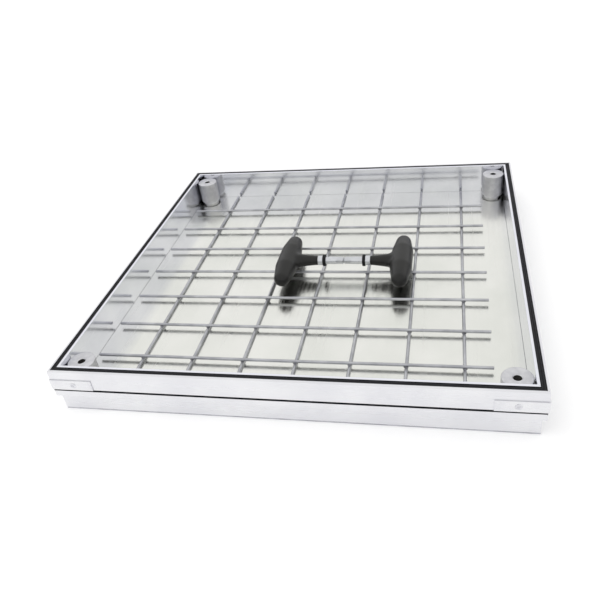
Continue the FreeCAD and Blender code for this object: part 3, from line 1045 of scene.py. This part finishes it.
@dataclass
class ReinforcingMesh:
    """Welded mesh on the tray's floor: long wires below, cross wires on them, welded at each crossing."""

    count: int = 7
    end_bevel: float = 0.4
    ring_step: float = 8.0
    wire_steps: int = 18
    bow: float = 0.35
    bow_length: float = 130.0
    bow_apart: float = 7.3  # step from wire to wire in the noise that bows them
    bow_level: float = 0.5  # the cross wires' level in that noise, one below the long wires'
    flash_radius: float = 2.3
    flash_thickness: float = 0.9
    flash_detail: int = 2
    flash_roughness: float = 0.25
    flash_lumps: float = 1.7
    flash_sizes: tuple[float, float] = (0.9, 1.12)
    flash_ovals: tuple[float, float] = (0.9, 1.1)
    flash_turns: tuple[float, float] = (0.0, 6.0)
    seed: int = 11

    def build(self) -> Iterator[Piece]:
        """Build and dress the two layers of wires and their welds.

        Yields:
            The pieces, one after the other.
        """
        yield self.layer("mesh_long_wires", Axis.Y)
        yield self.layer("mesh_cross_wires", Axis.X)
        yield self.welds()

    def places(self, node: str, across: Axis) -> list[float]:
        """Where a layer's wires lie.

        Args:
            node: The layer's node in the frame.
            across: The axis that the wires stand side by side along.

        Returns:
            The middle of each wire along that axis.
        """
        low, high = box_of(node)
        radius = (high.z - low.z) / 2
        first, last = low[across.value] + radius, high[across.value] - radius
        return [first + (last - first) * index / (self.count - 1) for index in range(self.count)]

    def layer(self, node: str, along: Axis) -> Piece:
        """One layer: wires that bow a little, each cut square with a worn edge.

        Args:
            node: The layer's node in the frame.
            along: The axis that its wires follow.

        Returns:
            The dressed layer, modelled along its own Y.
        """
        low, high = box_of(node)
        radius, height = (high.z - low.z) / 2, (high.z + low.z) / 2
        start, stop = low[along.value], high[along.value]
        spans = round((stop - start) / self.ring_step)
        rows = [
            (start, radius - self.end_bevel),
            (start + self.end_bevel / 2, radius),
            *((start + (stop - start) * step / spans, radius) for step in range(1, spans)),
            (stop - self.end_bevel / 2, radius),
            (stop, radius - self.end_bevel),
        ]
        angles = [math.tau * step / self.wire_steps for step in range(self.wire_steps)]
        shape = bmesh.new()
        for index, place in enumerate(self.places(node, Axis.X if along is Axis.Y else Axis.Y)):
            rings = []
            for run, reach in rows:
                spot = Vector((run / self.bow_length, index * self.bow_apart, along.value + self.bow_level))
                middle = place + self.bow * noise.noise(spot)
                rings.append([
                    Vector((middle + reach * math.cos(angle), run, height + reach * math.sin(angle)))
                    for angle in angles
                ])
            skin(shape, rings, Ends.CAPPED)
        piece = new_piece(f"{node}_drawn", mesh_of(node, shape))
        if along is Axis.X:
            piece.rotation_euler.z = -QUARTER_TURN
        return dress(piece, WIRE_STEEL, node)

    def welds(self) -> Piece:
        """Flash squeezed out at every crossing, each lump a little different.

        Returns:
            The dressed flash, as one piece.
        """
        contact = box_of("mesh_long_wires")[1].z
        draw = random.Random(self.seed)
        shape = bmesh.new()
        for across in self.places("mesh_long_wires", Axis.X):
            for along in self.places("mesh_cross_wires", Axis.Y):
                middle = Vector((across, along, contact))
                size = self.flash_radius * draw.uniform(*self.flash_sizes)
                oval = size * draw.uniform(*self.flash_ovals)
                turn = Matrix.Rotation(draw.uniform(*self.flash_turns), 4, "Z")
                squash = Matrix.Diagonal((size, oval, self.flash_thickness, 1.0))
                place = Matrix.Translation(middle) @ turn @ squash
                lump = bmesh.ops.create_icosphere(shape, subdivisions=self.flash_detail, radius=1.0)
                for point in lump["verts"]:
                    swell = 1 + self.flash_roughness * noise.noise(point.co * self.flash_lumps + middle)
                    point.co = (place @ (point.co * swell)) * MM
        return dress(new_piece("mesh_weld_flash", mesh_of("mesh_weld_flash", shape)), WELD_STEEL)


@dataclass
class LiftingKey:
    """T-handle lifting key: moulded grip, threaded shank with a collar, and a washer."""

    hand: Hand
    neck_length: float = 33.0
    shank_radius: float = 4.0
    shank_set: float = 21.0
    collar_radius: float = 5.2
    collar_length: float = 5.5
    washer_thickness: float = 3.0
    washer_gap: float = 0.1
    edge_radius: float = 0.5
    tip_bevel: float = 1.0
    thread_pitch: float = 1.25
    thread_depth: float = 0.35
    thread_start: float = 11.0
    steps: int = 48
    voxel: float = 0.55
    smooth_rounds: int = 60
    smooth_factor: float = 0.5
    smooth_start: float = 22.0
    smooth_stop: float = 31.0
    slim_start: float = 14.0
    slim_share: float = 0.5
    place: Matrix = field(init=False)
    tip: float = field(init=False)

    def __post_init__(self) -> None:
        """Take the key's place from its grip, and the shank's end from the shank."""
        low, high = box_of(self.node("grip"))
        radius, middle = (high.z - low.z) / 2, (low + high) / 2
        across = low.x + radius if self.hand is Hand.LEFT else high.x - radius
        seat = Vector((across, middle.y, middle.z))
        self.place = Matrix.Translation(seat * MM) @ Matrix.Rotation(self.hand.turn, 4, "Z")
        low, high = box_of(self.node("shank"))
        self.tip = high.x - across if self.hand is Hand.LEFT else across - low.x

    def node(self, word: str) -> str:
        """The name of one of the key's nodes."""
        return f"key_{self.hand.label}_{word}"

    def build(self) -> Iterator[Piece]:
        """Build and dress the key's pieces.

        Yields:
            The grip, the shank and the washer.
        """
        for piece, finish, word in (
            (self.grip(), GRIP_NYLON, "grip"),
            (self.shank(), SHANK_STEEL, "shank"),
            (self.washer(), WASHER_RUBBER, "washer"),
        ):
            piece.matrix_world = self.place
            yield dress(piece, finish, self.node(word))

    def share(self, point: bpy.types.MeshVertex, start: float, stop: float) -> float:
        """How far along the shank a point lies between two places, from 0 to 1."""
        return min(1.0, max(0.0, (point.co.x / MM - start) / (stop - start)))

    def grip(self) -> Piece:
        """The grip's solid with its creases softened as a mould leaves them, sharp only round the shank.

        Returns:
            The grip, with its shank along X.
        """
        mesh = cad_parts[self.node("grip")].data.copy()
        mesh.materials.clear()
        mesh.transform(self.place.inverted())
        rough = new_piece("grip_rough", mesh)
        remesh = rough.modifiers.new("even_net", "REMESH")
        remesh.mode = "VOXEL"
        remesh.voxel_size = self.voxel * MM
        rough.data = baked(rough)
        crossbar = rough.vertex_groups.new(name="crossbar")
        for point in rough.data.vertices:
            weight = 1 - self.share(point, self.smooth_start, self.smooth_stop)
            crossbar.add([point.index], weight, "REPLACE")
        soften = rough.modifiers.new("soften", "SMOOTH")
        soften.iterations = self.smooth_rounds
        soften.factor = self.smooth_factor
        soften.vertex_group = crossbar.name
        soft = baked(rough)
        bpy.data.objects.remove(rough)
        for point in soft.vertices:
            reach = point.co.yz.length / MM
            slim = self.slim_share * self.share(point, self.slim_start, self.neck_length)
            spare = (reach - self.shank_radius) * slim
            if spare > 0:
                point.co.yz *= 1 - spare / reach
        soft.shade_smooth()
        return new_piece(f"{self.node('grip')}_moulded", soft)

    def along_shank(self, name: str, rings: Rings, ends: Ends) -> Piece:
        """A turned piece of the key.

        Args:
            name: The piece's name.
            rings: Its rings about Z.
            ends: What becomes of the first and last ring.

        Returns:
            The piece, laid along X.
        """
        mesh = ring_mesh(name, rings, ends)
        mesh.transform(Matrix.Rotation(QUARTER_TURN, 4, "Y"))
        return new_piece(name, mesh)

    def shank(self) -> Piece:
        """Steel shank from inside the neck, over the collar, to the threaded tip.

        Returns:
            The shank, laid along X.
        """
        set_end = self.neck_length - self.shank_set
        collar_end = self.neck_length + self.collar_length
        low = collar_end + self.washer_thickness + self.thread_start
        high = self.tip - self.tip_bevel
        edge = self.edge_radius
        # The point on the axis is there only to round the edge after it
        body = rounded([
            (0, set_end, 0),
            (self.shank_radius, set_end, edge),
            (self.shank_radius, self.neck_length, 0),
            (self.collar_radius, self.neck_length, edge),
            (self.collar_radius, collar_end, edge),
            (self.shank_radius, collar_end, 0),
            (self.shank_radius, low, 0),
        ])[1:]
        thread = threaded(self.shank_radius, -self.thread_depth, low, high, self.thread_pitch)
        end = [(self.shank_radius - self.tip_bevel, self.tip)]
        rings = turned_rings(plain(body) + thread + plain(end), self.steps, self.thread_pitch)
        return self.along_shank(f"{self.node('shank')}_threaded", rings, Ends.CAPPED)

    def washer(self) -> Piece:
        """Rubber washer against the collar.

        Returns:
            The washer, laid along X.
        """
        low = self.neck_length + self.collar_length
        high = low + self.washer_thickness
        node_low, node_high = box_of(self.node("washer"))
        outer, inner = (node_high.z - node_low.z) / 2, self.shank_radius + self.washer_gap
        edge = self.edge_radius
        outline = rounded([(inner, low, 0), (outer, low, edge), (outer, high, edge), (inner, high, 0)])
        rings = turned_rings(plain(outline), self.steps)
        return self.along_shank(f"{self.node('washer')}_moulded", rings, Ends.LOOPED)


# The studio

WHITE = "#FFFFFF"


def aimed(place: Sequence[float], aim: Sequence[float]) -> Matrix:
    """How a lamp or a camera stands.

    Args:
        place: Where it is, in millimetres.
        aim: What it points at, in millimetres.

    Returns:
        Its place and turn, in metres.
    """
    start, end = Vector(place) * MM, Vector(aim) * MM
    return Matrix.Translation(start) @ (end - start).to_track_quat("-Z", "Y").to_matrix().to_4x4()


@dataclass(frozen=True)
class Softbox:
    """A soft square lamp: where it hangs, what it points at, its side, and its power in watts.

    Mirrors don't show it, so that the bright floor shows the even surround from every side.
    """

    name: str
    place: tuple[float, float, float]
    aim: tuple[float, float, float]
    side: float
    power: float

    def hang(self) -> None:
        """Hang the lamp."""
        lamp = bpy.data.lights.new(self.name, "AREA")
        lamp.shape = "SQUARE"
        lamp.size = self.side * MM
        lamp.energy = self.power
        holder = bpy.data.objects.new(self.name, lamp)
        holder.visible_glossy = False
        holder.matrix_world = aimed(self.place, self.aim)
        bpy.context.scene.collection.objects.link(holder)


@dataclass
class Studio:
    """White floor and surround, a soft lamp, and the camera where the photographer stood."""

    camera_place: tuple[float, float, float] = (133.3, -581.0, 391.6)
    camera_aim: tuple[float, float, float] = (-2.2, -95.9, 47.0)
    camera_roll: float = -8.2
    lens: float = 38.47
    sensor: float = 36.0
    floor_side: float = 8000.0
    floor_drop: float = 0.1
    floor_colour: str = "#EDEDED"
    floor_near: float = 500.0
    floor_far: float = 1600.0
    floor_glow: float = 0.235
    floor_glow_far: float = 0.4
    dome_light: float = 0.85
    lamp: Softbox = Softbox(
        "key_softbox", place=(-450.0, -500.0, 1600.0), aim=(0.0, 0.0, 20.0), side=1200.0, power=7.0)

    def build(self) -> Iterator[Piece]:
        """Set up the studio.

        Yields:
            The floor, which is all of it that is reported.
        """
        self.surround()
        self.lamp.hang()
        self.camera()
        bpy.context.scene.view_settings.view_transform = "Standard"
        yield self.floor()

    def seen(self, tree: Tree) -> Socket:
        """Tell rays that see from rays that only carry light.

        Args:
            tree: The node tree that asks.

        Returns:
            1 for rays from the camera, mirrors and glass, and 0 for the others.
        """
        path = add(tree, "ShaderNodeLightPath")
        shows = path.outputs["Is Camera Ray"]
        for word in ("Is Glossy Ray", "Is Transmission Ray"):
            either = add(tree, "ShaderNodeMath", {"operation": "MAXIMUM"},
                         {0: shows, 1: path.outputs[word]})
            shows = either.outputs["Value"]
        return shows

    def surround(self) -> None:
        """A white dome: as seen it is white, and as light it is a little less."""
        world = bpy.data.worlds.new("studio_dome")
        world.use_nodes = True
        tree = world.node_tree
        tree.nodes.clear()
        strength = add(tree, "ShaderNodeMapRange", {"To Min": self.dome_light, "To Max": 1.0},
                       {"Value": self.seen(tree)})
        dome = add(tree, "ShaderNodeBackground", {"Color": linear(WHITE)},
                   {"Strength": strength.outputs["Result"]})
        add(tree, "ShaderNodeOutputWorld", links={"Surface": dome.outputs["Background"]})
        bpy.context.scene.world = world

    def floor(self) -> Piece:
        """A pale floor that takes the shadow, lifted to white where the camera or a mirror sees it.

        Returns:
            The floor.
        """
        shape = bmesh.new()
        bmesh.ops.create_grid(shape, x_segments=1, y_segments=1, size=self.floor_side * MM / 2)
        piece = new_piece("studio_floor", mesh_of("studio_floor", shape))
        piece.location.z = -self.floor_drop * MM
        material = bpy.data.materials.new("Paper_sweep_matt_white")
        material.use_nodes = True
        tree = material.node_tree
        tree.nodes.clear()
        paper = add(tree, "ShaderNodeBsdfDiffuse", {"Color": linear(self.floor_colour)})
        place = add(tree, "ShaderNodeTexCoord")
        reach = add(tree, "ShaderNodeVectorMath", {"operation": "LENGTH"}, {0: place.outputs["Object"]})
        fade = add(tree, "ShaderNodeMapRange", {
            "interpolation_type": "SMOOTHSTEP",
            "From Min": self.floor_near * MM,
            "From Max": self.floor_far * MM,
            "To Min": self.floor_glow,
            "To Max": self.floor_glow_far,
        }, {"Value": reach.outputs["Value"]})
        glow = add(tree, "ShaderNodeMath", {"operation": "MULTIPLY"},
                   {0: self.seen(tree), 1: fade.outputs["Result"]})
        lift = add(tree, "ShaderNodeEmission", {"Color": linear(WHITE)},
                   {"Strength": glow.outputs["Value"]})
        both = add(tree, "ShaderNodeAddShader",
                   links={0: paper.outputs["BSDF"], 1: lift.outputs["Emission"]})
        add(tree, "ShaderNodeOutputMaterial", links={"Surface": both.outputs["Shader"]})
        piece.data.materials.append(material)
        return piece

    def camera(self) -> None:
        """The photograph's view: its place, aim, roll and lens."""
        lens = bpy.data.cameras.new("photograph_view")
        lens.lens = self.lens
        lens.sensor_width = self.sensor
        holder = bpy.data.objects.new("photograph_view", lens)
        roll = Matrix.Rotation(math.radians(self.camera_roll), 4, "Z")
        holder.matrix_world = aimed(self.camera_place, self.camera_aim) @ roll
        bpy.context.scene.collection.objects.link(holder)
        bpy.context.scene.camera = holder


def main() -> None:
    """Build each sub-assembly in order and report its pieces."""
    logging.basicConfig(level=logging.INFO, format="%(message)s")
    keys = [LiftingKey(hand) for hand in Hand]
    for assembly in (Frame(), Tray(), ReinforcingMesh(), *keys, Studio()):
        for piece in assembly.build():
            LOG.info("%s: %s, %d faces", type(assembly).__name__, piece.name, len(piece.data.polygons))


if __name__ == "__main__":
    main()
